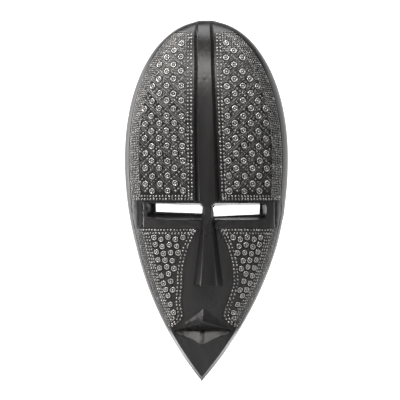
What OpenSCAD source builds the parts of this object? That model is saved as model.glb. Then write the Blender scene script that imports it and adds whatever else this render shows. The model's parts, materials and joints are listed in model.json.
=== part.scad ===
/* [Body] */
// Height from the crown to the tip of the chin
mask_h = 480; // [440:5:520]
// Width across the widest level
mask_w = 218; // [205:1:230]
// Depth of the dome from the back plane to its crown
dome_d = 72; // [66:1:80]
// Depth of the flat side wall around the rim
edge_d = 14; // [10:1:18]
// Thickness of the wood over the hollow
wall = 15; // [12:1:18]

/* [Ridge and nose] */
// Height of the centre ridge above the dome
ridge_rise = 6.5; // [4:0.5:9]
// Half width of the ridge's flat top at mid forehead
ridge_face = 10; // [8:0.5:12]
// Height of the tip of the nose above the dome
nose_rise = 27; // [20:1:32]
// Half width of the foot of the nose at its lower end
nose_foot = 20; // [17:0.5:22]

/* [Eyes] */
// Height of the left slit at its outer end
slit_left = 10; // [8:0.5:13]
// Height of the right slit at its outer end
slit_right = 12.5; // [8:0.5:13]

/* [Mouth] */
// Half width of the mouth
mouth_w = 38; // [34:1:40]
// Height of the upper lip's edge above the dome
lip_rise = 11; // [7:1:14]

/* [Sheets] */
// Thickness of the embossed sheets
sheet_t = 0.5; // [0.4:0.1:0.8]
// Diameter of a tack's head
tack_d = 3.2; // [2.6:0.2:3.6]

/* [Hanger] */
// Diameter of the ring's wire
wire_d = 2.5; // [2:0.1:2.8]
// Width of the strap
strap_w = 12; // [10:0.5:12]

/* [Hidden] */
$fn = 48;

// Levels are distances below the crown. The origin is the hanging point on the wall plane.
hang_level = 25;
wide_level = 185;
brow_level = 241;
bridge_level = 247;
slit_level = 245;
cheek_level = 276;
nose_level = 351.5;
lip_level = 383;
mouth_level = 412.5;
chin_level = 432;
low_h = mask_h - wide_level;
half_w = mask_w / 2;
crown_half = 11.5;
tip_half = 1.2;
dome_power = 2.1;
chin_power = 5;
chin_d = 34;
chin_edge = 10;

function z_at(level) = hang_level - level;
function lerp(a, b, s) = a + (b - a) * s;
function ramp(a, b, v) = max(0, min(1, (v - a) / (b - a)));
function smooth(a, b, v) = let (s = ramp(a, b, v)) s * s * (3 - 2 * s);
// Height of a superellipse quarter of unit size at s from its centre
function quarter(s, power) = pow(max(0, 1 - pow(min(1, abs(s)), power)), 1 / power);

// Half width of the outline: a superellipse above the widest level, a pointed arch of two arcs below it
arch_r = (half_w * half_w + low_h * low_h) / (2 * half_w);
function half_width(level) = level < wide_level
    ? max(crown_half, half_w * quarter((wide_level - level) / wide_level, dome_power))
    : max(tip_half, sqrt(arch_r * arch_r - pow(level - wide_level, 2)) - arch_r + half_w);
// Depth of the dome on the centre line
function crown(level) = level < wide_level
    ? lerp(edge_d, dome_d, quarter((wide_level - level) / (wide_level + 1.5), 2.2))
    : lerp(dome_d, chin_d, pow((level - wide_level) / low_h, 2));
// Depth of the side wall, and how square the section is
function edge(level) = edge_d + chin_edge * smooth(360, mask_h, level);
function power(level) = lerp(dome_power, chin_power, smooth(385, 440, level));
function dome_at(x, level) =
    lerp(edge(level), crown(level), quarter(x / half_width(level), power(level)));

// The ridge and the nose: half widths of their foot and face, and their height above the dome
function foot(level) = min(0.96 * half_width(level), level < brow_level
    ? lerp(11, 14.7, ramp(0, brow_level, level))
    : level < bridge_level ? lerp(14.7, 8.5, ramp(brow_level, bridge_level, level))
    : lerp(8.5, nose_foot, ramp(bridge_level, nose_level, level)));
function face(level) = min(foot(level) - 0.3, level < brow_level
    ? lerp(7.7, ridge_face, ramp(0, 120, level))
    : level < bridge_level ? lerp(ridge_face, 3.1, ramp(brow_level, bridge_level, level))
    : lerp(3.1, 10.3, ramp(bridge_level, nose_level, level)));
function rise(level) = level < bridge_level ? lerp(3, ridge_rise, ramp(0, 30, level))
    : level <= nose_level ? lerp(ridge_rise, nose_rise, ramp(bridge_level, nose_level, level))
    : 0;

// Faces of a solid lofted through rings of k points. Points j and k-1-j of a ring face each other.
function loft_faces(n, k) = concat(
    [for (i = [0:n - 2], j = [0:k - 1]) [i * k + j, (i + 1) * k + j, i * k + (j + 1) % k]],
    [for (i = [0:n - 2], j = [0:k - 1])
        [i * k + (j + 1) % k, (i + 1) * k + j, (i + 1) * k + (j + 1) % k]],
    [for (j = [0:k / 2 - 2]) [j, j + 1, k - 2 - j, k - 1 - j]],
    [for (j = [0:k / 2 - 2], o = (n - 1) * k) [o + j, o + k - 1 - j, o + k - 2 - j, o + j + 1]]);
module loft(rings) {
    polyhedron([for (ring = rings) each ring], loft_faces(len(rings), len(rings[0])), convexity = 8);
}
// A ring that is the same on both sides of the centre plane, from its right half [x, depth]
function mirrored(half, level) = let (n = len(half)) concat(
    [for (p = half) [p[0], -p[1], z_at(level)]],
    [for (i = [1:n]) [-half[n - i][0], -half[n - i][1], z_at(level)]]);

// Levels at which the dome, the hollow and the sheets are drawn
dome_steps = 18;
chin_steps = 20;
dome_levels = concat(
    [for (i = [0:dome_steps - 1]) wide_level * (1 - cos(90 * i / dome_steps))],
    [for (i = [0:5]) lerp(wide_level, brow_level, i / 5)],
    [for (i = [0:10]) lerp(bridge_level, nose_level, i / 10)],
    [for (i = [0:chin_steps]) lerp(nose_level + 0.6, mask_h, i / chin_steps)]);
section_steps = 12;
function dome_half(level) = let (
    w = half_width(level),
    e = edge(level),
    q = power(level),
    last = acos(pow(foot(level) / w, q / 2)))
    concat([[w, 0]],
        [for (j = [0:section_steps]) let (a = last * j / section_steps)
            [w * pow(cos(a), 2 / q), lerp(e, crown(level), pow(sin(a), 2 / q))]],
        [[face(level), dome_at(face(level), level) + rise(level)]]);
module dome() {
    loft([for (level = dome_levels) mirrored(dome_half(level), level)]);
}

// The hollow in the back
hollow_top = 74;
hollow_low = 434;
hollow_steps = 22;
hollow_mid = (hollow_top + hollow_low) / 2;
function hollow_half(level) = let (
    s = (level - hollow_mid) / (hollow_low - hollow_top) * 2,
    w = max(3, (half_width(level) - wall) * quarter(s, 4)),
    d = max(2, (crown(level) - wall) * quarter(s, 3)))
    concat([[w, -2]], [for (j = [0:10]) [w * pow(cos(8.9 * j), 0.9), d * pow(sin(9 * j), 0.9)]]);
module hollow() {
    loft([for (i = [0:hollow_steps]) let (level = hollow_mid - (hollow_mid - hollow_top)
        * cos(180 * i / hollow_steps)) mirrored(hollow_half(level), level)]);
}

// An eye: a funnel from the face down to a slit that runs through to the hollow
slit_in = 8.5;
slit_out = 70;
slit_flare = 2.5;
slit_deep_in = 55;
slit_deep_out = 40;
slit_behind = 20;
funnel_in = 7.9;
funnel_out = 79;
funnel_low = 264;
funnel_top = 243.5;
funnel_deep_in = 73;
funnel_deep_out = 55;
// The funnel's corners, carried on past the face along its sloping edges
function past(a, b) = a + 1.7 * (b - a);
module eye(slit_h) {
    slit = [[slit_in, slit_level + slit_h + slit_flare, slit_deep_in],
        [slit_out, slit_level + slit_h, slit_deep_out],
        [slit_out, slit_level + 0.5, slit_deep_out], [slit_in, slit_level, slit_deep_in]];
    brim = [[funnel_in, funnel_low, funnel_deep_in], [funnel_out, funnel_low, funnel_deep_out],
        [funnel_out, funnel_top, funnel_deep_out], [funnel_in, funnel_top, funnel_deep_in]];
    loft([[for (p = slit) [p[0], -p[2], z_at(p[1])]],
        [for (i = [0:3]) let (p = past(slit[i], brim[i])) [p[0], -p[2], z_at(p[1])]]]);
    loft([[for (p = slit) [p[0], -slit_behind, z_at(p[1])]],
        [for (p = slit) [p[0], -p[2] - 1, z_at(p[1])]]]);
}

// The lips: a block with a sloping top, and the diamond notch of the mouth
peak_level = 398.5;
corner_level = 411.5;
lip_top = dome_at(0, lip_level);
lip_peak = dome_at(0, peak_level) + lip_rise;
lip_corner = dome_at(mouth_w, corner_level) + 1;
lip_low = dome_at(0, chin_level) + 5;
function lip_point(x, level, depth) = [x, -depth, z_at(level)];
module lips() {
    polyhedron([lip_point(0, lip_level, lip_top), lip_point(0, peak_level, lip_peak),
        lip_point(0, chin_level, lip_low), lip_point(0, chin_level + 5, dome_at(0, chin_level + 5)),
        lip_point(mouth_w, corner_level, lip_corner), lip_point(-mouth_w, corner_level, lip_corner),
        lip_point(0, lip_level, lip_top - 9), lip_point(0, chin_level + 5, 30),
        lip_point(mouth_w - 1, 412, 25), lip_point(1 - mouth_w, 412, 25)],
        [[0, 4, 1], [1, 4, 2], [2, 4, 3], [0, 1, 5], [1, 2, 5], [2, 3, 5], [0, 6, 8], [0, 8, 4],
        [3, 4, 8], [3, 8, 7], [0, 5, 9], [0, 9, 6], [3, 7, 9], [3, 9, 5], [6, 9, 7], [6, 7, 8]]);
}
module mouth() {
    polyhedron([lip_point(0, peak_level - 0.1, lip_peak + 0.2),
        lip_point(0, chin_level + 0.1, lip_low + 0.2),
        lip_point(mouth_w, corner_level, lip_corner + 0.1),
        lip_point(-mouth_w, corner_level, lip_corner + 0.1),
        lip_point(0, mouth_level, lip_corner - 2), lip_point(0, mouth_level, lip_peak + 60)],
        [[0, 4, 2], [4, 1, 2], [0, 3, 4], [4, 3, 1], [0, 2, 5], [1, 5, 2], [0, 5, 3], [1, 3, 5]]);
}

// The hanger's pocket, axis and screw
pocket_half = 15;
pocket_top = 17;
pocket_low = 92;
pocket_d = 7;
wire_r = wire_d / 2;
fit_gap = 0.05;
strap_t = 1;
knuckle_r = wire_r + fit_gap + strap_t;
axis_y = knuckle_r - pocket_d;
ring_drop = 21;
axis_z = -ring_drop;
strap_l = 15;
screw_z = axis_z - 8.5;
screw_r = 1.6;
screw_l = 14;
module pocket() {
    translate([-pocket_half, -pocket_d, z_at(pocket_low)])
        cube([2 * pocket_half, pocket_d + 2, pocket_low - pocket_top]);
}
module along_y(y, z) {
    translate([0, y, z]) rotate([90, 0, 0]) children();
}

module carved_body() {
    color("#2b2a2a") difference() {
        union() {
            dome();
            lips();
        }
        mouth();
        hollow();
        eye(slit_right);
        mirror([1, 0, 0]) eye(slit_left);
        pocket();
        along_y(-pocket_d + 1, screw_z) cylinder(r = screw_r, h = screw_l + 1);
    }
}

// A sheet lies over the wood between two edges, pushed out along the surface's normal
sheet_gap = 0.35;
function slope_x(x, level) = (dome_at(x + 0.2, level) - dome_at(x - 0.2, level)) / 0.4;
function slope_z(x, level) = (dome_at(x, level - 0.2) - dome_at(x, level + 0.2)) / 0.4;
function normal(x, level) = let (v = [-slope_x(x, level), -1, -slope_z(x, level)]) v / norm(v);
function on_face(x, level, out) =
    [x, -dome_at(x, level), z_at(level)] + out * normal(x, level);
sheet_steps = 14;
function across(a, b, s) = lerp(a, b, sin(90 * s));
// The dome's own levels between two others, which also count
function levels_between(a, b) =
    concat([a], [for (level = dome_levels) if (level > a + 0.5 && level < b - 0.5) level], [b]);
function sheet_ring(level, a, b) = concat(
    [for (j = [0:sheet_steps]) on_face(across(a, b, j / sheet_steps), level, sheet_gap)],
    [for (j = [0:sheet_steps])
        on_face(across(a, b, 1 - j / sheet_steps), level, sheet_gap + sheet_t)]);

// Edges of the forehead sheet
band = 8;
forehead_top = 12;
function forehead_in(level) = foot(level) + 1.6;
function forehead_out(level) = half_width(level) - band;
forehead_levels = levels_between(forehead_top, brow_level - 1);
module forehead_plate() {
    loft([for (level = forehead_levels)
        sheet_ring(level, forehead_in(level), forehead_out(level))]);
}

// Edges of the cheek sheet: its inner edge bows around the nose and the mouth
cheek_low = 408;
function cheek_in(level) = 12 + 20.5 * sin(180 * pow(ramp(cheek_level, 431, level), 0.85))
    + 22 * pow(ramp(388, cheek_low, level), 2);
function cheek_out(level) = half_width(level) - lerp(7, 4.5, ramp(cheek_level, 320, level));
cheek_levels = levels_between(cheek_level, cheek_low);
module cheek_plate() {
    loft([for (level = cheek_levels) sheet_ring(level, cheek_in(level), cheek_out(level))]);
}

// A tack with a domed head, driven in along the surface's normal
shank_r = 0.6;
shank_l = 9;
module tack(x, level) {
    n = normal(x, level);
    translate(on_face(x, level, sheet_gap + sheet_t))
        rotate([0, acos(n[2]), atan2(n[1], n[0])]) {
            translate([0, 0, -shank_l]) cylinder(r = shank_r, h = shank_l + 0.2, $fn = 24);
            rotate_extrude($fn = 24) intersection() {
                scale(tack_d / 2) circle(r = 1);
                square([tack_d, tack_d * 0.35]);
            }
        }
}
tack_inset = 3;
forehead_tack_levels = [60, 105, 150, 195];
forehead_tack_row = [22, 46, 70, 90];
crown_tack = [20, 25];
module forehead_tacks() {
    for (level = forehead_tack_levels) {
        tack(forehead_in(level) + tack_inset, level);
        tack(forehead_out(level) - tack_inset, level);
    }
    for (x = forehead_tack_row) tack(x, brow_level - tack_inset - 1);
    tack(crown_tack[0], crown_tack[1]);
}
cheek_tack_levels = [300, 335, 370];
cheek_tack_row = [20, 44, 68, 86];
lowest_tack = [38, 396];
module cheek_tacks() {
    for (level = cheek_tack_levels) {
        tack(cheek_in(level) + tack_inset, level);
        tack(cheek_out(level) - tack_inset, level);
    }
    for (x = cheek_tack_row) tack(x, cheek_level + tack_inset);
    tack(lowest_tack[0], lowest_tack[1]);
}

module forehead_plate_right() color("#4a4949") forehead_plate();
module forehead_plate_left() color("#4a4949") mirror([1, 0, 0]) forehead_plate();
module cheek_plate_right() color("#4a4949") cheek_plate();
module cheek_plate_left() color("#4a4949") mirror([1, 0, 0]) cheek_plate();
module forehead_tacks_right() color("#8a8886") forehead_tacks();
module forehead_tacks_left() color("#8a8886") mirror([1, 0, 0]) forehead_tacks();
module cheek_tacks_right() color("#8a8886") cheek_tacks();
module cheek_tacks_left() color("#8a8886") mirror([1, 0, 0]) cheek_tacks();

// The strap is folded around the ring's bar, and its two layers lie on the pocket's floor
module across_x(radius, width) {
    rotate([0, 90, 0]) cylinder(r = radius, h = width, center = true);
}
module hanger_strap() {
    color("#9a9a98") difference() {
        translate([0, axis_y, axis_z]) union() {
            across_x(knuckle_r, strap_w);
            translate([-strap_w / 2, -knuckle_r, -strap_l]) cube([strap_w, 2 * strap_t, strap_l]);
            translate([-strap_w / 2, 0, 0]) rotate([90, 0, 90]) linear_extrude(strap_w)
                polygon([[-knuckle_r, 0], [knuckle_r, 0], [2 * strap_t - knuckle_r, -2 * knuckle_r],
                    [-knuckle_r, -2 * knuckle_r]]);
        }
        translate([0, axis_y, axis_z]) across_x(wire_r + fit_gap, strap_w + 1);
        along_y(0, screw_z) cylinder(r = screw_r + 0.15, h = pocket_d + 1);
    }
}

// The ring: a bar in the knuckle, two bends, two arms and a half circle
ring_r = 9.75;
bend_r = 3;
arm_l = ring_drop + wire_r - ring_r - bend_r;
module ring_wire(length) cylinder(r = wire_r, h = length);
module bend(radius, angle) {
    rotate_extrude(angle = angle) translate([radius, 0]) circle(r = wire_r);
}
module hanger_ring() {
    color("#b4b4b2") translate([0, axis_y, axis_z]) {
        translate([bend_r - ring_r, 0, 0]) rotate([0, 90, 0]) ring_wire(2 * (ring_r - bend_r));
        for (side = [0, 1]) mirror([side, 0, 0]) {
            translate([ring_r - bend_r, 0, -bend_r]) rotate([90, 0, 0]) bend(bend_r, 90);
            translate([ring_r, 0, -bend_r - arm_l]) ring_wire(arm_l);
        }
        translate([0, 0, -bend_r - arm_l]) rotate([-90, 0, 0]) bend(ring_r, 180);
    }
}

// The screw: a tapered head with a slot, a shank in the strap and the wood, and a point
head_r = 3;
head_h = 1.6;
slot_w = 0.8;
slot_floor = 0.8;
point_l = 3.5;
point_r = 0.3;
shaft_r = screw_r - 0.05;
shaft_l = 2 * strap_t + screw_l - point_l - 0.5;
module hanger_screw() {
    color("#8f8f8d") along_y(2 * strap_t - pocket_d, screw_z) {
        cylinder(r = shaft_r, h = shaft_l);
        translate([0, 0, shaft_l]) cylinder(r1 = shaft_r, r2 = point_r, h = point_l);
        difference() {
            mirror([0, 0, 1]) cylinder(r1 = head_r, r2 = head_r * 0.7, h = head_h);
            translate([-head_r, -slot_w / 2, -head_h - 0.4])
                cube([2 * head_r, slot_w, head_h + 0.4 - slot_floor]);
        }
    }
}

carved_body();
forehead_plate_left();
forehead_plate_right();
cheek_plate_left();
cheek_plate_right();
forehead_tacks_left();
forehead_tacks_right();
cheek_tacks_left();
cheek_tacks_right();
hanger_strap();
hanger_ring();
hanger_screw();
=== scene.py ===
import json
import math

import bmesh
import bpy
import numpy as np
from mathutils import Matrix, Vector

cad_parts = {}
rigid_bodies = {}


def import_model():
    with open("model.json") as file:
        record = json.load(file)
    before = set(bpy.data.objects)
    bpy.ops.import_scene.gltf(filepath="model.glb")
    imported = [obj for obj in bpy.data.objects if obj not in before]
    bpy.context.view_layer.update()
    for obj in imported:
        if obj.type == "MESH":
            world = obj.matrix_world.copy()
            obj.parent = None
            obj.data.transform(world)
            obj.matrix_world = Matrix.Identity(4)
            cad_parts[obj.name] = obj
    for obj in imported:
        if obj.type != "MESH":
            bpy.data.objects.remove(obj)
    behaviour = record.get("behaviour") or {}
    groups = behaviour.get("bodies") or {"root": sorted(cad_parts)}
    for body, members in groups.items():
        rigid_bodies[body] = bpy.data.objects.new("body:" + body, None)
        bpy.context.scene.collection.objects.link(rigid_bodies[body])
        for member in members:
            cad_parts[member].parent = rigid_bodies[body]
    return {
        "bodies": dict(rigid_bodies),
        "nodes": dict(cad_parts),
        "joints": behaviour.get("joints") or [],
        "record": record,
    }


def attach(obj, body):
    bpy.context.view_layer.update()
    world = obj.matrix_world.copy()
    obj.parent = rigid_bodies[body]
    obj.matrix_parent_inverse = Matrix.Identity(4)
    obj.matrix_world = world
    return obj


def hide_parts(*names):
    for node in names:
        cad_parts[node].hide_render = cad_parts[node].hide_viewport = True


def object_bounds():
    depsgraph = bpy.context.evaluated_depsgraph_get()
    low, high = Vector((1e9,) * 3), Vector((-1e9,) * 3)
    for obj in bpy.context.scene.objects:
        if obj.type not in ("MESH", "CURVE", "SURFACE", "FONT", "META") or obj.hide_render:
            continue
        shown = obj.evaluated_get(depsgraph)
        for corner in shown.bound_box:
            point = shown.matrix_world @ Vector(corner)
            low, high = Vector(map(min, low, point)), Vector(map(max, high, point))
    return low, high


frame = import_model()
cad_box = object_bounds()

# Sizes are in millimetres. A level is a distance below the crown, a depth is a distance in front of
# the back plane, and the point (x, level, depth) is at (x, -depth, hang_level - level).
MM = 0.001
low, high = (np.array(corner) / MM for corner in cad_box)
hang_level = high[2]
mask_h = high[2] - low[2]
half_w = (high[0] - low[0]) / 2
dome_d = 72
chin_d = 34
edge_d = 14
chin_edge = 10
wall = 15
crown_half = 11.5
tip_half = 1.2
wide_level = 185
brow_level = 241
bridge_level = 247
nose_level = 351.5
chin_level = 432
ridge_rise = 6.5
nose_rise = 27
LEFT, RIGHT = -1, 1


# ---- The mask's surface: close to the CAD model's rules, but the centre line wanders as in the photo ----
def ramp(start, end, value):
    return np.clip((value - start) / (end - start), 0, 1)


def smooth(start, end, value):
    t = ramp(start, end, value)
    return t * t * (3 - 2 * t)


def lerp(a, b, t):
    return a + (b - a) * t


def quarter(s, power):
    return (1 - np.minimum(1, np.abs(s)) ** power) ** (1 / power)


def half_width(level):
    low_h = mask_h - wide_level
    radius = (half_w ** 2 + low_h ** 2) / (2 * half_w)
    upper = np.maximum(crown_half, half_w * quarter((wide_level - level) / wide_level, 2.1))
    drop = np.minimum(np.abs(level - wide_level), radius)
    lower = np.maximum(tip_half, np.sqrt(radius ** 2 - drop ** 2) - radius + half_w)
    return np.where(level < wide_level, upper, lower)


def crown(level):
    upper = lerp(edge_d, dome_d, quarter((wide_level - level) / (wide_level + 1.5), 2.2))
    lower = lerp(dome_d, chin_d, ((level - wide_level) / (mask_h - wide_level)) ** 2)
    return np.where(level < wide_level, upper, lower)


def edge(level):
    return edge_d + chin_edge * smooth(360, 480, level)


def dome(x, level):
    power = lerp(2.1, 5, smooth(385, 440, level))
    return lerp(edge(level), crown(level), quarter(x / half_width(level), power))


def foot(level):
    """Half width of the ridge or the nose where it meets the face."""
    ridge = lerp(11, 14.7, ramp(0, brow_level, level))
    nose = lerp(6.5, 19.7, ramp(bridge_level, nose_level, level))
    wide = lerp(ridge, nose, ramp(brow_level, bridge_level, level))
    return np.minimum(0.96 * half_width(level), wide)


def face(level):
    """Half width of the flat front of the ridge or the nose."""
    ridge = lerp(7.7, 10, ramp(0, 120, level))
    nose = lerp(3.1, 10.1, ramp(bridge_level, nose_level, level))
    wide = lerp(ridge, nose, ramp(brow_level, bridge_level, level))
    return np.minimum(foot(level) - 0.3, wide)


def rise(level):
    """Height of the ridge's or the nose's flat front over the dome."""
    nose = lerp(ridge_rise, nose_rise, ramp(bridge_level, nose_level, level))
    ridge = np.where(level < bridge_level, lerp(3, ridge_rise, ramp(0, 30, level)), nose)
    return ridge * (1 - ramp(nose_level, nose_level + 0.8, level))


def centre_sway(level):
    """The carved centre line wanders a little from the true one."""
    at = [0, 120, 241, 262, 351, 378, 412, 480]
    return np.interp(level, at, [-3.8, -2, 1.2, 2.1, 2.6, -4.2, -5, -6.3])


def edge_sway(level):
    return np.interp(level, [0, 300, 415, 480], [0, 0, -4.1, -6.3])


def swayed(x, level):
    toward_edge = np.minimum(1, (x / half_width(level)) ** 2)
    return x + lerp(centre_sway(level), edge_sway(level), toward_edge)


def wander(a, b, size, seed):
    """A smooth uneven surface from -1 to 1, with waves of about the given size."""
    rng = np.random.default_rng(seed)
    total = 0
    for _ in range(6):
        angle, phase = rng.uniform(0, 2 * math.pi, 2)
        wave = 2 * math.pi / (size * rng.uniform(0.7, 1.5))
        total = total + np.sin(wave * (a * math.cos(angle) + b * math.sin(angle)) + phase)
    return total / 6


def rounded(t, radius=0.12):
    """A ramp from 0 to 1 whose two corners are rounded."""
    t = np.clip(t, -radius, 1 + radius)
    start = (t + radius) ** 2 / (4 * radius)
    end = 1 - (1 + radius - t) ** 2 / (4 * radius)
    return np.where(t < radius, start, np.where(t > 1 - radius, end, t))


def groove(distance, width, depth):
    return -depth * np.maximum(0, 1 - np.abs(distance) / (width / 2)) ** 0.8


# ---- Edges of the carved features; side is LEFT or RIGHT, x is measured outward ----
slit_tops = {LEFT: (246.3, 244.6), RIGHT: (247.0, 245.3)}
slit_lows = {LEFT: (256.7, 254.4), RIGHT: (260.6, 257.7)}
slit_out = {LEFT: 68, RIGHT: 70.5}
slit_in = 7
slit_from, slit_to = 8.5, 70
slit_deep_in, slit_deep_out = 55, 40
frame_in = {LEFT: 79.6, RIGHT: 78.3}
frame_out = {LEFT: 84.5, RIGHT: 90}
temple = {LEFT: 91, RIGHT: 92}
funnel_top = 243.3
funnel_low = 264
cheek_level = 276
cheek_low = 408
sill_lift = {LEFT: 4, RIGHT: 0.5}
rim_forehead = {LEFT: 6.8, RIGHT: 8.8}
rim_cheek = 4.7


def rim(level, side):
    """Distance of the rim's groove from the outline."""
    narrowed = lerp(rim_forehead[side], rim_cheek, smooth(225, 262, level))
    return narrowed + 0.5 * smooth(410, 440, level)


def slit_edges(x, side):
    """Levels of the slit's upper and lower edge, from the nose outward, a little uneven."""
    t = ramp(slit_in, slit_out[side], x)
    shake = 0.22 * wander(x, 0 * x, 15, 21 + side)
    return lerp(*slit_tops[side], t) + shake, lerp(*slit_lows[side], t) - shake


def slit_depth(x):
    """Depth of the slit's front, which falls away toward the temple."""
    return lerp(slit_deep_in, slit_deep_out, (x - slit_from) / (slit_to - slit_from))


def sill_level(x, side):
    """Front edge of the sill: it curves up at the outer corner of the left eye."""
    return funnel_low + 0.8 - sill_lift[side] * ramp(50, 80, x) ** 2


band_drop = 0.5
frame_raise = 0.9
temple_raise = 1.0


def eye_band(x, level, depth, side):
    """Carve the eye's funnel, its frame and the temple into the face's depth."""
    slit_top, slit_low = slit_edges(x, side)
    low_edge = sill_level(x, side)
    top = 1 - ramp(funnel_top, slit_top, level)
    bottom = ramp(slit_low, low_edge, level) ** 2.2
    outer = ramp(slit_out[side] + 0.5, frame_in[side], x) ** 1.8
    inner = 1 - ramp(foot(level) - 0.6, foot(level) + 0.4, x)
    walls = np.maximum(np.maximum(top, bottom), np.maximum(outer, inner))
    deep = lerp(slit_depth(x), depth, rounded(walls, 0.04))
    carved = np.where((level > funnel_top - 1) & (x > foot(level) - 0.6), deep, depth)
    below_brow = smooth(brow_level - 1, funnel_top, level)
    band = below_brow * (1 - smooth(cheek_level - 3, cheek_level + 1, level))
    frame = 1 - ramp(frame_out[side] - 0.4, frame_out[side] + 0.8, x)
    carved = carved + band * frame * frame_raise * (walls >= 0.99) - band * band_drop
    carved = carved + band * groove(x - frame_out[side] - 0.6, 2.2, 1.3)
    step = smooth(temple[side] - 1.0, temple[side] + 1.2, x)
    carved = carved + band * step * temple_raise
    bars = 0.3 * wander(0.25 * x, level, 5, 3) * ramp(low_edge, low_edge + 2, level)
    return carved + band * bars


lip_top = 383
crest_level = 398
mouth_level = 412.6
corner_level = 411.5
mouth_half = 38
crest_rise = 11
line_drop = 2.6
lower_rise = 4.2
seam_rise = 1.3
upper_end, crest_end, line_end = 411.2, 411.6, 412.0
bevel_slope, bevel_cut = 0.36, 1.5


def lips(x, level, depth):
    """The lips: a diamond with a sloping top, a deep mouth line and two facets under it.

    t runs from 0 at the centre to 1 at the corners of the mouth.
    """
    t = np.abs(x) / mouth_half
    upper = lerp(lip_top, upper_end, t)
    crest = lerp(crest_level, crest_end, t)
    line = lerp(mouth_level, line_end, t)
    lower = lerp(chin_level, mouth_level, t)
    outline = lower + lerp(4.5, 0.8, t)
    corner = dome(mouth_half, corner_level) + 1
    d_upper = dome(x, upper)
    d_crest = lerp(dome(0, 398.5) + crest_rise, corner, t)
    d_line = lerp(dome(0, chin_level) - line_drop, corner - 1.6, t)
    d_lower = lerp(dome(0, chin_level) + lower_rise, corner, t)
    shape = np.where(level < crest, lerp(d_upper, d_crest, ramp(upper, crest, level)),
                     lerp(d_crest, d_line, ramp(crest, line, level) ** 1.15))
    shape = np.where(level > line, lerp(d_line, d_lower, ramp(line, lower, level)), shape)
    seam = ramp(-3.4, -1.2, x) * (1 - ramp(-0.8, 4.0, x))
    seam_end = 1 - ramp(lower - 1, lower + 1, level)
    shape = shape + seam_rise * seam * ramp(line, line + 3, level) * seam_end
    bevel = d_crest + (1 - t) * (bevel_slope * (level - crest) - bevel_cut)
    shape = np.where(level < line, np.minimum(shape, bevel), shape)
    under = lerp(d_lower, dome(x, outline), ramp(lower, outline, level) ** 0.55)
    shape = np.where(level > lower, under, shape)
    shape = shape + groove(level - lower, 1.4, 0.5) * (t < 1)
    inside = (t < 1) & (level > upper) & (level < outline)
    return np.where(inside, np.maximum(shape, 20), depth)


chin_chamfer = 5.2


def front(x, level, side):
    """Depth of the carved front, from the distance x outward on one side."""
    width = half_width(level)
    depth = dome(x, level)
    chin = smooth(404, 430, level)
    chamfer = lerp(edge(level), crown(level), ramp(0, chin_chamfer, width - x))
    depth = lerp(depth, chamfer, chin)
    flat = dome(face(level), level) + rise(level)
    side_slope = rounded(ramp(foot(level), face(level), x), 0.10)
    has_ridge = level < nose_level + 0.8
    rounding = 0.5 * (x / np.maximum(face(level), 1)) ** 4 * (x < face(level))
    ridge = lerp(dome(foot(level), level), flat - rounding * 0.6, side_slope)
    if_ridge = has_ridge & (x < foot(level))
    in_band = (level > brow_level - 2) & (level < cheek_level + 4)
    depth = np.where(in_band, eye_band(x, level, depth, side), depth)
    depth = np.where(if_ridge, np.maximum(ridge, np.where(in_band, depth, 0)), depth)
    foot_line = groove(x - foot(level) - 0.7, 1.8, 0.9) * (1 - ramp(brow_level - 1, brow_level + 1, level))
    depth = depth + foot_line * ramp(4, 12, level)
    depth = lips(x * side, level, depth)
    rim_line = groove(width - x - rim(level, side), 1.9, 1.3) * ramp(6, 20, level)
    depth = depth + rim_line * (1 - smooth(405, 425, level))
    tools = 0.16 * wander(x * side, 0.25 * level, 9, 11) + 0.10 * wander(x * side, 0.5 * level, 4, 12)
    return depth + tools * ramp(0, 3, width - x)


# ---- Mesh helpers ----
def spread(knots, counts):
    """Columns between knots, closer together next to each knot."""
    parts = []
    for a, b, n in zip(knots[:-1], knots[1:], counts):
        parts.append(lerp(a, b, (1 - np.cos(np.pi * np.arange(n) / n)) / 2))
    return np.concatenate(parts + [[knots[-1]]])


def to_space(x, level, depth):
    return np.stack([x, -depth, hang_level - level], axis=-1)


def grid_faces(rows, cols, first=0, flip=False):
    index = first + np.arange(rows * cols).reshape(rows, cols)
    a, b, c, d = index[:-1, :-1], index[1:, :-1], index[1:, 1:], index[:-1, 1:]
    order = (a, d, c, b) if flip else (a, b, c, d)
    return np.stack(order, axis=-1).reshape(-1, 4)


def make_mesh(name, points, faces, sharp_angle=None):
    mesh = bpy.data.meshes.new(name)
    mesh.from_pydata((np.asarray(points) * MM).tolist(), [], [list(map(int, f)) for f in faces])
    mesh.validate()
    mesh.update()
    if sharp_angle is not None:
        mesh.polygons.foreach_set("use_smooth", [True] * len(mesh.polygons))
        mesh.set_sharp_from_angle(angle=math.radians(sharp_angle))
    piece = bpy.data.objects.new(name, mesh)
    bpy.context.scene.collection.objects.link(piece)
    return piece


# ---- The carved wood ----
# Numbers of columns between the knots of a front row and of a back row
COLUMNS = [8, 8, 5, 24, 7, 5, 5, 6, 5, 8]
BACK_COLUMNS = [20, 1, 24, 20, 2, 14]
# Levels of the rows that are bent on to the slits' edges, and the rows' spacing (from, to, step)
SLIT_ROWS = (245, 255)
ROW_STEPS = [(0, 17, 1.7), (17, 73, 2.4), (73, 83, 1.0), (83, 238, 2.6), (238, 245, 0.6),
             (245, 255, 0.7), (255, 268, 0.6), (268, 351, 1.8), (351, 353, 0.5), (353, 382, 1.8),
             (382, 438, 0.65), (438, 480, 1.4)]


def body_levels():
    """Rows, close together where the carving is fine."""
    rows = [np.linspace(a, b, round((b - a) / step), endpoint=False) for a, b, step in ROW_STEPS]
    return np.append(np.concatenate(rows), mask_h)


def eye_tie(level):
    """1 at the rows that follow the eyes, 0 far from them."""
    return float(smooth(224, 238, level) * (1 - smooth(280, 300, level)))


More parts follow.
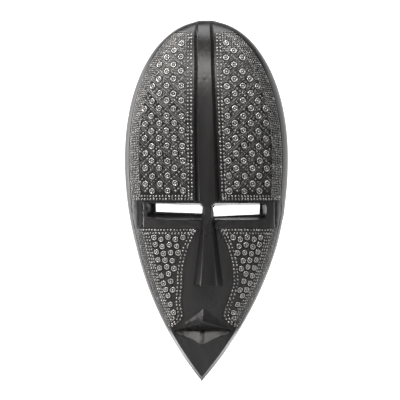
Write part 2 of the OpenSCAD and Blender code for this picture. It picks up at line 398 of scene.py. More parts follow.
def spaced(knots, counts, level, width):
    """Columns between knots; on the narrow chin they share out the flat and keep its chamfer."""
    flat = max(width - chin_chamfer, 0.7 * width)
    even = np.append(np.linspace(0, flat, len(knots) - 1), width)
    on_chin = float(smooth(418, 437, level))
    limits = width * np.linspace(0.5, 1, len(knots) - 1)
    return spread(lerp(np.minimum(knots, np.append(0, limits)), even, on_chin), counts)


def front_columns(level, side):
    width = float(half_width(level))
    line = width - float(rim(level, side))
    tie = eye_tie(level)
    inner = float(foot(level)) + lerp(1.6, 0.5, tie)
    loose = [lerp(inner, line - 1, t) for t in (0.7, 0.78, 0.85, 0.92)]
    tight = [slit_out[side], frame_in[side], frame_out[side], temple[side]]
    middle = [lerp(a, b, tie) for a, b in zip(loose, tight)]
    knots = [0, float(face(level)), float(foot(level)), inner, *middle, line - 1, line + 1, width]
    return spaced(np.array(knots), COLUMNS, level, width)


def back_columns(level, side):
    width = float(half_width(level))
    hollow = max(float(hollow_half(level)), pocket_half + 6)
    tie = eye_tie(level)
    first = lerp(pocket_half, float(foot(level)) + 0.5, tie)
    second = lerp(0.65 * hollow, slit_out[side], tie)
    knots = [0, first - 0.2 * (1 - tie) - 0.01, first + 0.2 * (1 - tie), second, hollow - 1.2, hollow, width]
    return spaced(np.array(knots), BACK_COLUMNS, level, width)


def follow_slit(x, level, side):
    """Bend the rows near the eyes so that two of them lie on the slit's edges."""
    top, low_edge = slit_edges(x, side)
    start, end = 238, 268
    first, last = SLIT_ROWS
    bent = np.where(level < first, lerp(start, top, (level - start) / (first - start)),
                    np.where(level < last, lerp(top, low_edge, (level - first) / (last - first)),
                             lerp(low_edge, end, (level - last) / (end - last))))
    return np.where((level > start) & (level < end), bent, level)


hollow_top = 74
hollow_low = 434
pocket_half = 15
pocket_top = 17
pocket_low = 92
pocket_d = 7


def hollow_reach(level):
    """-1 at the top of the hollow, 0 at its middle and 1 at its lower end."""
    return (level - (hollow_top + hollow_low) / 2) / (hollow_low - hollow_top) * 2


def hollow_half(level):
    """Half width of the hollow."""
    return (half_width(level) - wall) * quarter(hollow_reach(level), 4)


def inside_depth(x, level):
    """Depth of the hollow and of the hanger's pocket, with the marks of a round gouge."""
    s = hollow_reach(level)
    width = np.maximum(hollow_half(level), 0.1)
    deep = (crown(level) - wall) * quarter(s, 3)
    curve = (1 - np.minimum(1, np.abs(x) / width) ** (2 / 0.9)) ** (0.9 / 2)
    hollow = np.where(np.abs(s) < 1, deep * curve, 0)
    scoop_x = x / 10 + 0.35 * np.sin(level / 19)
    scoop_l = level / 27 + 0.5 * (np.floor(scoop_x) % 2)
    scoop = 1.6 * (scoop_x % 1 - 0.5) ** 2 + (scoop_l % 1 - 0.5) ** 2
    hollow = hollow - 2.2 * scoop * np.minimum(1, hollow / 10)
    pocket = pocket_d * ((np.abs(x) < pocket_half) & (level > pocket_top - 0.1) & (level < pocket_low))
    return np.maximum(hollow, pocket)


def wood_grid(columns, depth_of):
    """The points of the front or the back: a row for each level, from left to right."""
    rows = []
    for level in body_levels():
        halves = {}
        for side in (LEFT, RIGHT):
            x = columns(level, side)
            levels = follow_slit(x, np.full_like(x, level), side)
            halves[side] = to_space(swayed(x * side, levels), levels, depth_of(x, levels, side))
        rows.append(np.concatenate([halves[LEFT][::-1], halves[RIGHT][1:]]))
    return np.array(rows)


def behind(x, level, side):
    """The back's depth, always a few millimetres behind the front."""
    return np.maximum(0, np.minimum(inside_depth(x, level), front(x, level, side) - 3))


# Rows of faces on the wall between the front and the back
WALL_STEPS = 7


def open_grid(index, holes=(), flip=False):
    """Faces of a grid of vertices, without the cells inside the holes."""
    keep = np.ones((index.shape[0] - 1, index.shape[1] - 1), bool)
    for r0, r1, c0, c1 in holes:
        keep[r0:r1, c0:c1] = False
    a, b, c, d = index[:-1, :-1], index[1:, :-1], index[1:, 1:], index[:-1, 1:]
    return np.stack((a, d, c, b) if flip else (a, b, c, d), axis=-1)[keep]


def around(index, r0, r1, c0, c1):
    """The vertices around a block of cells."""
    return np.concatenate([index[r0:r1, c0], index[r1, c0:c1], index[r1:r0:-1, c1], index[r0, c1:c0:-1]])


def wood_block():
    """The mask's wood: a carved front, the edge all round, a hollow back, and two slits through it."""
    levels = body_levels()
    grid = wood_grid(front_columns, front)
    back_grid = wood_grid(back_columns, behind)
    rows, cols = grid.shape[:2]
    index = np.arange(rows * cols).reshape(rows, cols)
    ring = around(index, 0, rows - 1, 0, cols - 1)
    points = [grid.reshape(-1, 3)]
    faces = []
    loop = points[0][ring]
    level = hang_level - loop[:, 2]
    for step in range(1, WALL_STEPS + 1):
        t = step / WALL_STEPS
        layer = loop.copy()
        layer[:, 1] = loop[:, 1] * (1 - t)
        uneven = 0.3 * wander(loop[:, 2], layer[:, 1], 16, 61) * math.sin(math.pi * t)
        chamfer = (step == WALL_STEPS) * np.minimum(0.9, 0.1 * half_width(level))
        layer[:, 0] -= np.sign(loop[:, 0] - edge_sway(level)) * (chamfer + uneven * (half_width(level) > 20))
        start = sum(len(part) for part in points)
        new_ring = start + np.arange(len(layer))
        points.append(layer)
        faces.append(np.stack([ring, np.roll(ring, -1), np.roll(new_ring, -1), new_ring], axis=-1)[:, ::-1])
        ring = new_ring
    left, bottom = ring[:rows], ring[rows - 1:rows + cols - 1]
    right = ring[rows + cols - 2:2 * rows + cols - 2][::-1]
    top = np.concatenate([ring[:1], ring[2 * rows + cols - 3:][::-1]])
    near_eyes = (levels > 240) & (levels < 266)
    kept = [i for i in range(rows) if near_eyes[i] or i % 2 == 0 or i == rows - 1]
    back = sum(len(part) for part in points) + np.arange(len(kept) * cols).reshape(len(kept), cols)
    points.append(back_grid[kept].reshape(-1, 3))
    back[:, 0], back[:, -1], back[0], back[-1] = left[kept], right[kept], top, bottom
    slit_rows = [int(np.argmin(np.abs(levels - v))) for v in SLIT_ROWS]
    first, count, half = sum(COLUMNS[:3]), COLUMNS[3], cols // 2
    holes, back_holes, tunnels = [], [], []
    for c0 in (half - first - count, half + first):
        hole = (*slit_rows, c0, c0 + count)
        back_hole = (*(kept.index(r) for r in slit_rows), c0, c0 + count)
        holes.append(hole)
        back_holes.append((*back_hole[:2], c0 - 1, c0 - 1 + count))
        near, far = around(index, *hole), around(back, *back_hole)
        tunnels.append(np.stack([near, far, np.roll(far, -1), np.roll(near, -1)], axis=-1))
    faces += [open_grid(index, holes), open_grid(back[:, 1:-1], back_holes, flip=True), *tunnels]
    front_count = sum(len(part) for part in faces[:WALL_STEPS + 1])
    faces = [list(f) for f in np.concatenate(faces)]
    for k, (r0, r1) in enumerate(zip(kept[:-1], kept[1:])):
        faces.append([back[k, 1], back[k + 1, 1], *left[r0:r1 + 1][::-1]])
        faces.append([back[k + 1, -2], back[k, -2], *right[r0:r1 + 1]])
    piece = recalculated(make_mesh("carved_wood", np.concatenate(points), faces))
    for finish in ("wood", "hollow"):
        piece.data.materials.append(finishes[finish])
    for polygon in piece.data.polygons[front_count:]:
        polygon.material_index = int(polygon.center.y < -1 * MM)
    return piece


def recalculated(piece):
    """Turn all faces outward and drop vertices that no face uses."""
    mesh = bmesh.new()
    mesh.from_mesh(piece.data)
    bmesh.ops.delete(mesh, geom=[v for v in mesh.verts if not v.link_faces], context="VERTS")
    bmesh.ops.recalc_face_normals(mesh, faces=mesh.faces)
    if mesh.calc_volume(signed=True) < 0:
        bmesh.ops.reverse_faces(mesh, faces=mesh.faces)
    mesh.to_mesh(piece.data)
    mesh.free()
    return piece


# ---- The embossed sheets ----
def walk(level, start, distance, sign=1):
    """The x that lies the given distances along the surface from start, at one level."""
    x = start + sign * np.linspace(0, 130, 400)
    inside = np.minimum(np.abs(x), half_width(level) - 0.3)
    depth = dome(inside, level)
    arc = np.concatenate([[0], np.cumsum(np.hypot(np.diff(x), np.diff(depth)))])
    return np.interp(distance, arc, x)


def even_row(level, a, b, count):
    x = np.linspace(a, b, 200)
    arc = np.concatenate([[0], np.cumsum(np.hypot(np.diff(x), np.diff(dome(x, level))))])
    return np.interp(np.linspace(0, arc[-1], count), arc, x)


def even_levels(a, b, count, x=35):
    level = np.linspace(a, b, 400)
    depth = dome(np.minimum(x, half_width(level) * 0.5), level)
    arc = np.concatenate([[0], np.cumsum(np.hypot(np.diff(level), np.diff(depth)))])
    return np.interp(np.linspace(0, arc[-1], count), arc, level)


def surface_normal(x, level):
    step = 0.2
    slope_x = (dome(x + step, level) - dome(x - step, level)) / (2 * step)
    slope_z = (dome(x, level - step) - dome(x, level + step)) / (2 * step)
    normal = np.stack([-slope_x, -np.ones_like(slope_x), -slope_z], axis=-1)
    return normal / np.linalg.norm(normal, axis=-1, keepdims=True)


# Distance of a sheet's front and back from the wood's surface
SHEET_OUT = 0.85
SHEET_BACK = 0.35
# Radius and height of a ring, half the width of its wall, the radius and height of the bead in its
# middle, and the depth of the line pressed around it
RING_RADIUS = 3.2
RING_HEIGHT = 1.05
RING_WALL = 0.95
RING_BEAD = 1.35
RING_BEAD_HEIGHT = 1.15
RING_LINE = 0.35


class Sheet:
    """A grid over one side of the face that ornaments are pressed into."""

    def __init__(self, top, bottom, inner, outer, rows, cols, seed):
        self.inner, self.outer = inner, outer
        self.levels = even_levels(top, bottom, rows)
        self.x = np.array([even_row(v, inner(v), outer(v), cols) for v in self.levels])
        self.level = np.repeat(self.levels[:, None], cols, axis=1)
        self.normal = surface_normal(self.x, self.level)
        self.points = to_space(self.x, self.level, dome(self.x, self.level))
        self.height = np.zeros_like(self.x)
        self.pitch = abs(self.levels[-1] - self.levels[0]) / rows
        self.rng = np.random.default_rng(seed)

    def press(self, x, level, reach, profile):
        """Raise the grid around one point; profile turns distances into heights."""
        row = int(np.searchsorted(self.levels, level))
        if not 0 < row < len(self.levels):
            return
        col = int(np.searchsorted(self.x[row], x))
        if not 0 < col < self.x.shape[1]:
            return
        span = int(reach / self.pitch) + 3
        step = float(np.linalg.norm(self.points[row, col] - self.points[row, col - 1]))
        wide = int(1.3 * reach / step) + 3
        rows = slice(max(0, row - 2 * span), row + 2 * span)
        cols = slice(max(0, col - wide), col + wide)
        centre = to_space(x, level, dome(x, level))
        distance = np.linalg.norm(self.points[rows, cols] - centre, axis=-1)
        near = distance < reach
        pressed = profile(distance)
        old = self.height[rows, cols]
        changed = np.where(pressed < 0, old + pressed, np.maximum(old, pressed))
        self.height[rows, cols] = np.where(near, changed, old)

    def bead(self, x, level, radius, height):
        jitter = self.rng.uniform(-0.25, 0.25, 2)
        scale = self.rng.uniform(0.85, 1.12)
        size = radius * scale
        self.press(x + jitter[0], level + jitter[1], size,
                   lambda d: height * scale * np.sqrt(np.maximum(0, 1 - (d / size) ** 2)))

    def ring(self, x, level, radius=RING_RADIUS):
        """A punched ring with a bead in its middle and a dark line pressed around it."""
        tilt = self.rng.uniform(0.85, 1.1)
        size = radius * self.rng.uniform(0.94, 1.06)
        self.press(x, level, size + 2.0,
                   lambda d: np.where(np.abs(d - size - 1.35) < 0.65, -RING_LINE, 0.0))
        self.press(x, level, size + 1.1,
                   lambda d: RING_HEIGHT * tilt * np.sqrt(np.maximum(0, 1 - ((d - size) / RING_WALL) ** 2)))
        self.press(x, level, RING_BEAD,
                   lambda d: RING_BEAD_HEIGHT * np.sqrt(np.maximum(0, 1 - (d / RING_BEAD) ** 2)))

    def stroke(self, places, radius, height):
        """A raised line through close places."""
        for x, level in places:
            self.press(x, level, radius, lambda d: height * np.sqrt(np.maximum(0, 1 - (d / radius) ** 2)))

    def piece(self, name, side):
        """The sheet as a closed mesh; the back takes every fourth point of the front."""
        rows, cols = self.x.shape
        broad = wander(self.x * side, self.level, 30, 31)
        fine = wander(self.x * side, self.level, 2.6, 32)
        wave = 0.22 * broad + 0.11 * fine
        fade = np.minimum(1, np.minimum(self.x - self.x[:, :1], self.x[:, -1:] - self.x) / 1.2)
        lift = SHEET_OUT + (self.height + wave) * np.clip(fade, 0, 1)
        top = self.points + self.normal * lift[..., None]
        back = (self.points + self.normal * SHEET_BACK)[::4, ::4]
        for part, x, level in ((top, self.x, self.level), (back, self.x[::4, ::4], self.level[::4, ::4])):
            part[..., 0] = swayed(part[..., 0] * side, level)
        b_rows, b_cols = back.shape[:2]
        start = rows * cols
        faces = [list(f) for f in grid_faces(rows, cols)]
        faces += [list(f) for f in grid_faces(b_rows, b_cols, first=start, flip=True)]
        top_index = np.arange(rows * cols).reshape(rows, cols)
        back_index = start + np.arange(b_rows * b_cols).reshape(b_rows, b_cols)
        edges = ((top_index[0], back_index[0]), (top_index[:, -1], back_index[:, -1]),
                 (top_index[-1, ::-1], back_index[-1, ::-1]), (top_index[::-1, 0], back_index[::-1, 0]))
        for near, far in edges:
            for i in range(len(far) - 1):
                faces.append([near[4 * i + k] for k in range(5)] + [far[i + 1], far[i]])
        points = np.concatenate([top.reshape(-1, 3), back.reshape(-1, 3)])
        piece = make_mesh(name, points, faces)
        recalculated(piece)
        piece.data.polygons.foreach_set("use_smooth", [True] * len(piece.data.polygons))
        piece.data.set_sharp_from_angle(angle=math.radians(60))
        relief = piece.data.attributes.new("relief", "FLOAT", "POINT")
        values = np.concatenate([(self.height / 1.1).reshape(-1), np.zeros(b_rows * b_cols)])
        relief.data.foreach_set("value", np.clip(values, -0.5, 1.2).astype(np.float32))
        return piece


def bead_row(sheet, places, pitch, radius, height):
    """Beads at an even pitch along a line of (x, level) places."""
    places = np.array(places)
    points = to_space(places[:, 0], places[:, 1], dome(places[:, 0], places[:, 1]))
    arc = np.concatenate([[0], np.cumsum(np.linalg.norm(np.diff(points, axis=0), axis=1))])
    for s in np.arange(pitch / 2, arc[-1], pitch):
        s = s + sheet.rng.uniform(-0.08, 0.08) * pitch
        sheet.bead(np.interp(s, arc, places[:, 0]), np.interp(s, arc, places[:, 1]), radius, height)


# Distance between the rings of a row and between rows, the levels of the forehead sheet's ends, the
# width of its band of fine dots, and the number of small dots scattered over its ground
RING_PITCH = 21
ROW_PITCH = 9.9
FOREHEAD_TOP = 12
FOREHEAD_LOW = 240.5
FINE_BAND = 17
GROUND_DOTS = 2200


def forehead_sheet(side):
    """Rings in every cell of a slanting lattice, beads along the edges and a band of fine dots."""
    inner = lambda v: float(foot(v)) + 1.5
    outer = lambda v: float(half_width(v) - rim(v, side)) - 0.8
    sheet = Sheet(FOREHEAD_TOP, FOREHEAD_LOW, inner, outer, 437, 197, 41 + side)
    last = FOREHEAD_LOW - 13.5
    rows = even_levels(FOREHEAD_TOP, last, 400)
    arc_rows = np.concatenate([[0], np.cumsum(np.hypot(np.diff(rows), np.diff(dome(35, rows))))])

    def place(u, v):
        """The (x, level) of a lattice point: u counts rings outward, v counts rows upward."""
        level = float(np.interp(arc_rows[-1] - v * ROW_PITCH, arc_rows, rows))
        start = inner(level) + 12.5 + (2.5 if side == LEFT else 0.5) + 3 * (1 - level / 240)
        x = float(walk(level, start, max(0, u) * RING_PITCH)) + min(0, u) * RING_PITCH
        return x, level

    def free(x, level, margin):
        edge_x = walk(level, outer(level), FINE_BAND + margin, -1)
        return inner(level) + 9.5 + margin < x < edge_x and level > 30

    count = int(arc_rows[-1] / ROW_PITCH) + 1
    for v in np.arange(0, count, 0.06):
        for n in range(-count, 12):
            for offset in (-0.085, 0.085):
                u = n + 0.5 + offset + v / 2
                if -0.3 < u < 5:
                    x, level = place(u, v)
                    if free(x, level, -2):
                        sheet.stroke([(x, level)], 0.6, 0.4)
    for n in range(-2, 30):
        for step in np.arange(0, count, 0.31):
            u = n + 0.5 - step / 2
            if -0.3 < u < 5:
                x, level = place(u, step)
                if free(x, level, -2):
                    sheet.bead(x, level, 1.15, 0.8)
    for _ in range(GROUND_DOTS):
        x, level = place(sheet.rng.uniform(-0.3, 5), sheet.rng.uniform(0, count))
        if free(x, level, -2):
            sheet.bead(x, level, 1.0, 0.42)
    for j in range(count):
        for i in range(6):
            x, level = place(i + (j % 2) / 2, j)
            if free(x, level, 1.5):
                sheet.ring(x + sheet.rng.uniform(-0.7, 0.7), level + sheet.rng.uniform(-0.7, 0.7))
    along = np.linspace(FOREHEAD_TOP + 6, FOREHEAD_LOW - 3, 120)
    for inset in (4.0, 8.3):
        bead_row(sheet, [(inner(v) + inset, v) for v in along], 4.9, 1.35, 0.95)
    across = np.linspace(0, 1, 60)
    for up in (2.6, 6.6):
        level = FOREHEAD_LOW - up
        ends = inner(level) + 2, outer(level) - 2
        bead_row(sheet, [(lerp(*ends, t), level) for t in across], 4.3, 1.3, 0.95)
    for inset in np.arange(1.6, FINE_BAND + 1.5, 2.9):
        line = [(float(walk(v, outer(v), inset, -1)), v) for v in along]
        line = [(x, v) for x, v in line if x > inner(v) + 11]
        bead_row(sheet, line, 3.1, 1.1 + 0.15 * (inset > 8), 0.75)
    for level in np.arange(16, 44, 2.9):
        ends = inner(level) + 10, outer(level) - 1.5
        if ends[1] > ends[0] + 3:
            bead_row(sheet, [(lerp(*ends, t), level) for t in across], 3.2, 1.1, 0.6)
    return sheet


def cheek_in(level):
    bow = 20.5 * np.sin(np.pi * ramp(cheek_level, 431, level) ** 0.85)
    return float(12 + bow + 22 * ramp(388, cheek_low, level) ** 2)


def cheek_sheet(side):
    """Rows of close rings between rows of beads."""
    outer = lambda v: float(half_width(v) - rim(v, side)) - 0.7
    sheet = Sheet(cheek_level, cheek_low, cheek_in, outer, 301, 189, 51 + side)
    along = np.linspace(cheek_level + 2, cheek_low - 2, 100)
    for inset in (2.4, 6.9):
        bead_row(sheet, [(cheek_in(v) + inset, v) for v in along], 4.9, 1.35, 1.0)

    def closer(v):
        """The rows draw together towards the chin, where the side is steep."""
        return 1 - 0.26 * ramp(cheek_level, 350, v)

    for inset in (15.5, 19.6, 23.4):
        line = [(float(walk(v, outer(v), inset * closer(v), -1)), v) for v in along[3:]]
        line = [(x, v) for x, v in line if x > cheek_in(v) + 9]
        bead_row(sheet, line, 4.2, 1.3, 0.95)
    for inset in np.arange(1.4, 13.5, 2.8):
        line = [(float(walk(v, outer(v), inset, -1)), v) for v in along]
        line = [(x, v) for x, v in line if x > cheek_in(v) + 9]
        bead_row(sheet, line, 2.9, 1.0, 0.62)
    across = np.linspace(0, 1, 60)
    for down in (2.5, 6.9):
        level = cheek_level + down
        ends = cheek_in(level) + 3, float(walk(level, outer(level), 12, -1))
        bead_row(sheet, [(lerp(*ends, t), level) for t in across], 4.3, 1.3, 0.95)
    for i, level in enumerate(np.arange(cheek_level + 13.5, cheek_low - 5, 9.7)):
        reach = 30.5 * closer(level)
        while True:
            x = float(walk(level, outer(level), reach, -1))
            if x < cheek_in(level) + 11:
                break
            shift = 1.5 * math.sin(1.7 * i + reach)
            sheet.ring(x, level + shift, 2.9)
            reach += 9.8
    return sheet


# ---- Tacks ----
forehead_tack_levels = (60, 105, 150, 195)
forehead_tack_row = (22, 46, 70, 90)
crown_tack = (20, 25)
cheek_tack_levels = (300, 335, 370)
cheek_tack_row = (20, 44, 68, 86)
lowest_tack = (38, 396)
tack_inset = 3


def tack_places(kind):
    """The (x, level) of each tack of a sheet: along both sides, along one end, and one at the tip."""
    if kind == "forehead":
        inner = lambda v: float(foot(v)) + 1.5
        places = [(inner(v) + tack_inset, v) for v in forehead_tack_levels]
        places += [(float(half_width(v)) - 11, v) for v in forehead_tack_levels]
        return places + [(x, brow_level - 4) for x in forehead_tack_row] + [crown_tack]
    places = [(cheek_in(v) + tack_inset, v) for v in cheek_tack_levels]
    places += [(float(half_width(v)) - 8, v) for v in cheek_tack_levels]
    return places + [(x, cheek_level + tack_inset) for x in cheek_tack_row] + [lowest_tack]


def tacks(name, kind, side):
    """Domed tack heads on short shanks, set along the surface's normal."""
    profile = [(0.55, -6.0), (0.6, -0.2), (1.6, -0.05), (1.58, 0.25), (1.3, 0.72), (0.8, 1.03), (0.3, 1.12)]
    turns = 20
    points, faces = [], []
    for x, level in tack_places(kind):
        normal = surface_normal(np.array(x), np.array(float(level)))
        base = to_space(float(swayed(x, level)) if side == RIGHT else -float(swayed(-x, level)), level,
                        float(dome(x, level))) + normal * SHEET_OUT
        side_a = np.cross(normal, [0, 0, 1.0])
        side_a /= np.linalg.norm(side_a)
        side_b = np.cross(normal, side_a)
        first = len(points)
        for radius, height in profile:
            for k in range(turns):
                angle = 2 * math.pi * k / turns
                spoke = side_a * math.cos(angle) + side_b * math.sin(angle)
                points.append(base + spoke * radius + normal * height)
        for j in range(len(profile) - 1):
            for k in range(turns):
                a, b = first + j * turns + k, first + j * turns + (k + 1) % turns
                faces.append([a, b, b + turns, a + turns])
        faces.append([first + k for k in range(turns)][::-1])
        faces.append([first + (len(profile) - 1) * turns + k for k in range(turns)])
    points = np.array(points)
    points[:, 0] *= side
    return recalculated(make_mesh(name, points, faces, 50))


# ---- Materials ----
def new_material(name):
    material = bpy.data.materials.new(name)
    material.use_nodes = True
    nodes, links = material.node_tree.nodes, material.node_tree.links
    return material, nodes, links, nodes["Principled BSDF"]


def noise(nodes, links, scale, detail=6, stretch=(1, 1, 1), rough=0.55):
    """Noise over the object's own coordinates, stretched along an axis."""
    place = nodes.new("ShaderNodeTexCoord")
    mapping = nodes.new("ShaderNodeMapping")
    mapping.inputs["Scale"].default_value = stretch
    texture = nodes.new("ShaderNodeTexNoise")
    texture.inputs["Scale"].default_value = scale
    texture.inputs["Detail"].default_value = detail
    texture.inputs["Roughness"].default_value = rough
    links.new(place.outputs["Object"], mapping.inputs["Vector"])
    links.new(mapping.outputs["Vector"], texture.inputs["Vector"])
    return texture.outputs["Fac"]


def colour_ramp(nodes, links, fac, stops):
    ramp_node = nodes.new("ShaderNodeValToRGB")
    elements = ramp_node.color_ramp.elements
    for i, (position, colour) in enumerate(stops):
        element = elements[i] if i < 2 else elements.new(position)
        element.position = position
        element.color = (*colour, 1)
    links.new(fac, ramp_node.inputs["Fac"])
    return ramp_node.outputs["Color"]


def grey_ramp(nodes, links, fac, *stops):
    return colour_ramp(nodes, links, fac, [(p, (v, v, v)) for p, v in stops])


def bump(nodes, links, shader, height, strength, distance):
    node = nodes.new("ShaderNodeBump")
    node.inputs["Strength"].default_value = strength
    node.inputs["Distance"].default_value = distance
    links.new(height, node.inputs["Height"])
    links.new(node.outputs["Normal"], shader.inputs["Normal"])


def stained_wood():
    """Black-stained, waxed wood: fine grain along the mask's height, slightly brown in the grain's lighter
    streaks.
    """
    material, nodes, links, shader = new_material("stained_wood")
    grain = noise(nodes, links, 60, 8, (1, 1, 0.07))
    colour = colour_ramp(nodes, links, grain, [(0.3, (0.008, 0.0078, 0.008)), (0.7, (0.024, 0.022, 0.022))])
    links.new(colour, shader.inputs["Base Color"])
    blotch = noise(nodes, links, 25, 5, (1, 1, 0.4))
    links.new(grey_ramp(nodes, links, blotch, (0.3, 0.24), (0.7, 0.38)), shader.inputs["Roughness"])
    shader.inputs["Specular IOR Level"].default_value = 0.45
    bump(nodes, links, shader, grain, 0.35, 0.0004)
    return material


def bare_wood():
    """The hollow's wood: the stain is thin there, and gouge marks and fibres show."""
    material, nodes, links, shader = new_material("hollow_wood")
    grain = noise(nodes, links, 90, 9, (1, 1, 0.05), 0.65)
    colour = colour_ramp(nodes, links, grain, [(0.25, (0.018, 0.013, 0.010)), (0.75, (0.075, 0.052, 0.038))])
    links.new(colour, shader.inputs["Base Color"])
    shader.inputs["Roughness"].default_value = 0.8
    bump(nodes, links, shader, grain, 0.6, 0.0006)
    return material


def embossed_metal():
    """Blackened sheet: dark in its hollows, worn bright on the beads and rings."""
    material, nodes, links, shader = new_material("embossed_sheet")
    relief = nodes.new("ShaderNodeAttribute")
    relief.attribute_name = "relief"
    patina = noise(nodes, links, 140, 6)
    mixed = nodes.new("ShaderNodeMath")
    mixed.operation = "MULTIPLY_ADD"
    mixed.inputs[1].default_value = 0.45
    links.new(patina, mixed.inputs[0])
    links.new(relief.outputs["Fac"], mixed.inputs[2])
    colour = colour_ramp(nodes, links, mixed.outputs["Value"],
                         [(0.05, (0.006, 0.006, 0.006)), (0.35, (0.035, 0.034, 0.033)),
                          (0.75, (0.16, 0.155, 0.149)), (1.0, (0.41, 0.399, 0.384))])
    links.new(colour, shader.inputs["Base Color"])
    shader.inputs["Metallic"].default_value = 0.75
    rough = grey_ramp(nodes, links, mixed.outputs["Value"], (0.1, 0.45), (0.9, 0.22))
    links.new(rough, shader.inputs["Roughness"])
    shader.inputs["Coat Weight"].default_value = 0.6
    shader.inputs["Coat Roughness"].default_value = 0.24
    bump(nodes, links, shader, patina, 0.25, 0.0003)
    return material


def worn_metal(name, dark, light, rough, stretch=(1, 1, 1)):
    """Bare metal with fine marks; rough is the least roughness."""
    material, nodes, links, shader = new_material(name)
    marks = noise(nodes, links, 320, 8, stretch, 0.6)
    links.new(colour_ramp(nodes, links, marks, [(0.3, dark), (0.7, light)]), shader.inputs["Base Color"])
    shader.inputs["Metallic"].default_value = 1.0
    links.new(grey_ramp(nodes, links, marks, (0.3, rough), (0.7, rough + 0.2)), shader.inputs["Roughness"])
    bump(nodes, links, shader, marks, 0.3, 0.0002)
    return material


def pale_floor(near_y, dim_y):
    """A floor that glows nearly white under the backdrop's edge, as painted light, and is a softer grey that
    hardly glows in front of the mask.
    """
    material, nodes, links, shader = new_material("pale_floor")
    place = nodes.new("ShaderNodeTexCoord")
    split = nodes.new("ShaderNodeSeparateXYZ")
    along = nodes.new("ShaderNodeMapRange")
    along.inputs["From Min"].default_value = dim_y
    along.inputs["From Max"].default_value = near_y
    links.new(place.outputs["Object"], split.inputs["Vector"])
    links.new(split.outputs["Y"], along.inputs["Value"])
    colour = grey_ramp(nodes, links, along.outputs["Result"], (0.6, 0.5), (0.97, 0.95))
    links.new(colour, shader.inputs["Base Color"])
    # Painted light: emission makes the floor glow white near the backdrop's edge and fades to almost none in
    # front of the mask.
    glow = grey_ramp(nodes, links, along.outputs["Result"], (0.72, 0.02), (0.97, 0.95))
    links.new(glow, shader.inputs["Emission Strength"])
    shader.inputs["Emission Color"].default_value = (1, 1, 1, 1)
    shader.inputs["Roughness"].default_value = 0.9
    return material


def pale_stage(name, colour, glow):
    """An even pale surface that glows a little by itself."""
    material, nodes, links, shader = new_material(name)
    mottle = noise(nodes, links, 3, 2)
    tint = tuple(0.985 * c for c in colour)
    links.new(colour_ramp(nodes, links, mottle, [(0.3, tint), (0.7, colour)]), shader.inputs["Base Color"])
    shader.inputs["Roughness"].default_value = 0.9
    shader.inputs["Emission Color"].default_value = (1, 1, 1, 1)
    shader.inputs["Emission Strength"].default_value = glow
    return material


# ---- Camera, light and floor, in metres ----
FLOOR_Z = -0.56
SWEEP_EDGE = 0.7
STAGE_HALF = 8.0
VIEW_HEIGHT = 0.5356
CAMERA_AWAY = 4.5
CAMERA_SIDE = -0.0086
CAMERA_UP = -0.214


def make_camera():
    """A long lens straight in front of the mask."""
    data = bpy.data.cameras.new("camera")
    data.sensor_width = 36
    data.lens = data.sensor_width * CAMERA_AWAY / VIEW_HEIGHT
    camera = bpy.data.objects.new("camera", data)
    camera.location = (CAMERA_SIDE, -CAMERA_AWAY, CAMERA_UP)
    camera.rotation_euler = (math.radians(90), 0, 0)
    bpy.context.scene.collection.objects.link(camera)
    bpy.context.scene.camera = camera


def area_light(name, place, size, power, colour=(1, 1, 1)):
    """A soft light that faces the mask's middle and is not itself seen."""
    data = bpy.data.lights.new(name, "AREA")
    data.shape = "RECTANGLE"
    data.size, data.size_y = size
    data.energy = power
    data.color = colour
    light = bpy.data.objects.new(name, data)
    light.location = place
    light.visible_camera = False
    target = np.array([0, -0.04, -0.2])
    towards = target - np.array(place)
    length = float(np.linalg.norm(towards))
    turn = math.atan2(towards[1], towards[0]) - math.pi / 2
    light.rotation_euler = (math.acos(-towards[2] / length), 0, turn)
    bpy.context.scene.collection.objects.link(light)


def stage_piece(name, points, faces, material):
    mesh = bpy.data.meshes.new(name)
    mesh.from_pydata(points, [], faces)
    mesh.materials.append(material)
    piece = bpy.data.objects.new(name, mesh)
    bpy.context.scene.collection.objects.link(piece)


def sweep(name, material):
    """A pale sweep that lies behind the mask and rises in a curve to the far wall."""
    bend, far, tall, steps = 5.0, 6.8, 5.0, 24
    profile = [(SWEEP_EDGE, FLOOR_Z), (bend, FLOOR_Z)]
    for i in range(1, steps + 1):
        angle = math.pi / 2 * i / steps
        y = bend + (far - bend) * math.sin(angle)
        profile.append((y, FLOOR_Z + 1.2 * (1 - math.cos(angle))))
    profile.append((far, tall))
    points = [(side * STAGE_HALF, y, z) for y, z in profile for side in (LEFT, RIGHT)]
    faces = [[2 * i, 2 * i + 1, 2 * i + 3, 2 * i + 2] for i in range(len(profile) - 1)]
    stage_piece(name, points, faces, material)


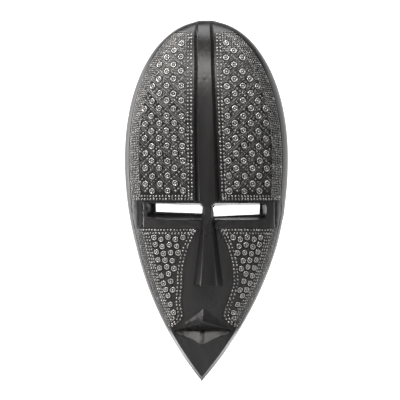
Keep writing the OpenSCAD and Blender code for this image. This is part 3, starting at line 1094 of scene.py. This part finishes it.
def make_stage():
    front_y = -7.0
    floor = pale_floor(SWEEP_EDGE, -1.6)
    corners = [(-STAGE_HALF, front_y, FLOOR_Z), (STAGE_HALF, front_y, FLOOR_Z),
               (STAGE_HALF, SWEEP_EDGE, FLOOR_Z), (-STAGE_HALF, SWEEP_EDGE, FLOOR_Z)]
    stage_piece("floor", corners, [[0, 1, 2, 3]], floor)
    sweep("backdrop", pale_stage("pale_wall", (0.95, 0.95, 0.95), 0.95))
    world = bpy.data.worlds.new("studio")
    world.use_nodes = True
    world.node_tree.nodes["Background"].inputs["Color"].default_value = (0.9, 0.92, 0.95, 1)
    world.node_tree.nodes["Background"].inputs["Strength"].default_value = 0.10
    bpy.context.scene.world = world
    area_light("key", (-1.5, -1.2, 1.4), (0.7, 0.7), 36, (1, 0.985, 0.97))
    area_light("top", (0.0, -0.15, 1.7), (1.8, 1.0), 30)
    area_light("right", (1.3, -1.4, 1.4), (0.6, 0.6), 10, (0.97, 0.98, 1))
    area_light("front", (-0.1, -1.5, 0.8), (1.5, 0.36), 15, (1, 0.985, 0.965))
    area_light("left_edge", (-2.2, 0.9, 0.1), (1.4, 2.0), 43)
    area_light("right_edge", (2.2, 1.1, 0.0), (1.2, 2.0), 11)
    bpy.context.scene.view_settings.view_transform = "Standard"


# ---- Build it ----
make_camera()
make_stage()
finishes = {"wood": stained_wood(), "hollow": bare_wood(), "sheet": embossed_metal(),
            "tack": worn_metal("tack_metal", (0.10, 0.10, 0.10), (0.42, 0.41, 0.40), 0.25),
            "strap": worn_metal("strap_steel", (0.28, 0.27, 0.26), (0.55, 0.54, 0.52), 0.3, (0.2, 1, 1)),
            "ring": worn_metal("ring_steel", (0.35, 0.34, 0.33), (0.65, 0.64, 0.62), 0.2),
            "screw": worn_metal("screw_steel", (0.40, 0.36, 0.26), (0.66, 0.60, 0.44), 0.25)}

wood = wood_block()
wood.data.polygons.foreach_set("use_smooth", [True] * len(wood.data.polygons))
wood.data.set_sharp_from_angle(angle=math.radians(28))
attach(wood, "mask")
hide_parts("carved_body")

for side, word in ((LEFT, "left"), (RIGHT, "right")):
    for kind, maker in (("forehead", forehead_sheet), ("cheek", cheek_sheet)):
        sheet = maker(side).piece(f"{kind}_sheet_{word}", side)
        sheet.data.materials.append(finishes["sheet"])
        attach(sheet, "mask")
        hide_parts(f"{kind}_plate_{word}")
        heads = tacks(f"{kind}_tack_heads_{word}", kind, side)
        heads.data.materials.append(finishes["tack"])
        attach(heads, "mask")
        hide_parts(f"{kind}_tacks_{word}")

for node, finish in (("hanger_strap", "strap"), ("hanger_ring", "ring"), ("hanger_screw", "screw")):
    for item in bpy.context.scene.objects:
        if item.name == node and item.type == "MESH":
            for place in item.material_slots:
                place.material = finishes[finish]
